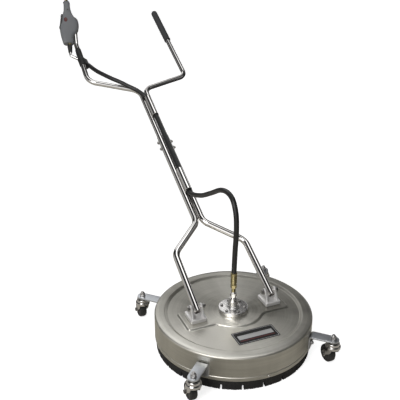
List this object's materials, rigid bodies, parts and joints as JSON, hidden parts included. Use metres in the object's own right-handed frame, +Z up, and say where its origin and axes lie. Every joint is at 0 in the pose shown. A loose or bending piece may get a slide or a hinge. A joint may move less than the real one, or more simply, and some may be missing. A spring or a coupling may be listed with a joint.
{
  "type": "walk-behind surface cleaner",
  "caption": "Round stainless deck with a brush skirt on swivel casters, a rotating spray bar beneath, and a folding tubular push handle with hose, grip and trigger gun.",
  "frame": {"origin": "on the floor under the middle of the whole machine's box; the deck's vertical axis is 547 mm in front of it, at -Y", "axes": "+Z up, +X along the handle's hinge axis towards the grip's side, +Y towards the operator, the way the handle leans"},
  "size_m": [0.5106, 1.605, 0.9462],
  "materials": {
    "brushed_steel_deck": "satin, spun brushed",
    "zinc_plated_arm": "satin zinc plate",
    "nickel_plate": "bright cast and plated",
    "bright_tube": "mirror polished",
    "steel_shaft": "ground",
    "yellow_brass": "satin",
    "black_bristle": "matte nylon bristle",
    "black_strip": "matte",
    "black_rubber": "semi-gloss",
    "black_wheel": "matte",
    "grip_rubber": "matte charcoal",
    "grey_plastic": "satin moulded",
    "dark_plastic": "satin moulded"
  },
  "bodies": {
    "deck": {"deck_shell": "brushed_steel_deck", "brush_skirt": "black_bristle", "brush_strip": "black_strip", "caster_arm_front_left": "zinc_plated_arm", "arm_bolts_front_left": "nickel_plate", "stem_bolt_front_left": "nickel_plate", "caster_arm_front_right": "zinc_plated_arm", "arm_bolts_front_right": "nickel_plate", "stem_bolt_front_right": "nickel_plate", "caster_arm_rear_right": "zinc_plated_arm", "arm_bolts_rear_right": "nickel_plate", "stem_bolt_rear_right": "nickel_plate", "caster_arm_rear_left": "zinc_plated_arm", "arm_bolts_rear_left": "nickel_plate", "stem_bolt_rear_left": "nickel_plate", "swivel_housing": "nickel_plate", "flange_bolt_ring": "nickel_plate", "shaft_bearing": "nickel_plate", "shaft_seal": "black_rubber", "hose_coupling": "yellow_brass", "handle_bracket_left": "nickel_plate", "handle_bracket_right": "nickel_plate", "pivot_bolt_left": "nickel_plate", "pivot_bolt_right": "nickel_plate", "hose_loop": "black_rubber"},
    "handle": {"lower_tube_left": "bright_tube", "lower_tube_right": "bright_tube", "upper_tube_left": "bright_tube", "upper_tube_right": "bright_tube", "joint_bolt_lower": "nickel_plate", "joint_bolt_upper": "nickel_plate", "grip": "grip_rubber", "hose_guide_upper": "bright_tube", "hose_guide_lower": "bright_tube", "hose_upper": "black_rubber", "hose_clip": "black_rubber", "gun_shell_front": "grey_plastic", "gun_shell_rear": "grey_plastic", "gun_valve": "yellow_brass", "inlet_collar": "dark_plastic", "outlet_boot": "dark_plastic", "gun_outlet_pipe": "bright_tube"},
    "rotor": {"swivel_shaft": "steel_shaft", "spray_bar": "bright_tube", "nozzle_left": "yellow_brass", "nozzle_right": "yellow_brass"},
    "swivel_front_left": {"caster_fork_front_left": "nickel_plate", "wheel_axle_front_left": "nickel_plate"},
    "wheel_front_left": {"caster_wheel_front_left": "black_wheel"},
    "swivel_front_right": {"caster_fork_front_right": "nickel_plate", "wheel_axle_front_right": "nickel_plate"},
    "wheel_front_right": {"caster_wheel_front_right": "black_wheel"},
    "swivel_rear_right": {"caster_fork_rear_right": "nickel_plate", "wheel_axle_rear_right": "nickel_plate"},
    "wheel_rear_right": {"caster_wheel_rear_right": "black_wheel"},
    "swivel_rear_left": {"caster_fork_rear_left": "nickel_plate", "wheel_axle_rear_left": "nickel_plate"},
    "wheel_rear_left": {"caster_wheel_rear_left": "black_wheel"},
    "trigger": {"trigger": "dark_plastic"},
    "latch": {"safety_latch": "dark_plastic"}
  },
  "joints": [
    {"name": "handle_tilt", "type": "hinge", "parent": "deck", "child": "handle", "pos_m": [0, -0.54662, 0.158], "axis": [1, 0, 0], "range_deg": [-22, 52], "deforming": ["hose_loop"]},
    {"name": "rotor_spin", "type": "hinge", "parent": "deck", "child": "rotor", "pos_m": [0, -0.54662, 0.062], "axis": [0, 0, 1], "continuous": true},
    {"name": "swivel_front_left_turn", "type": "hinge", "parent": "deck", "child": "swivel_front_left", "pos_m": [-0.23193, -0.77855, 0.07], "axis": [0, 0, 1], "continuous": true},
    {"name": "wheel_front_left_spin", "type": "hinge", "parent": "swivel_front_left", "child": "wheel_front_left", "pos_m": [-0.23193, -0.75655, 0.0285], "axis": [1, 0, 0], "continuous": true},
    {"name": "swivel_front_right_turn", "type": "hinge", "parent": "deck", "child": "swivel_front_right", "pos_m": [0.23193, -0.77855, 0.07], "axis": [0, 0, 1], "continuous": true},
    {"name": "wheel_front_right_spin", "type": "hinge", "parent": "swivel_front_right", "child": "wheel_front_right", "pos_m": [0.23193, -0.75655, 0.0285], "axis": [1, 0, 0], "continuous": true},
    {"name": "swivel_rear_right_turn", "type": "hinge", "parent": "deck", "child": "swivel_rear_right", "pos_m": [0.23193, -0.31468, 0.07], "axis": [0, 0, 1], "continuous": true},
    {"name": "wheel_rear_right_spin", "type": "hinge", "parent": "swivel_rear_right", "child": "wheel_rear_right", "pos_m": [0.23193, -0.29268, 0.0285], "axis": [1, 0, 0], "continuous": true},
    {"name": "swivel_rear_left_turn", "type": "hinge", "parent": "deck", "child": "swivel_rear_left", "pos_m": [-0.23193, -0.31468, 0.07], "axis": [0, 0, 1], "continuous": true},
    {"name": "wheel_rear_left_spin", "type": "hinge", "parent": "swivel_rear_left", "child": "wheel_rear_left", "pos_m": [-0.23193, -0.29268, 0.0285], "axis": [1, 0, 0], "continuous": true},
    {"name": "trigger_pull", "type": "hinge", "parent": "handle", "child": "trigger", "pos_m": [-0.23436, 0.68801, 0.83864], "axis": [0, 0.682, -0.7314], "range_deg": [0, 8]},
    {"name": "latch_flip", "type": "hinge", "parent": "trigger", "child": "latch", "pos_m": [-0.22919, 0.72959, 0.8774], "axis": [0, -0.682, 0.7314], "range_deg": [-70, 0]}
  ]
}
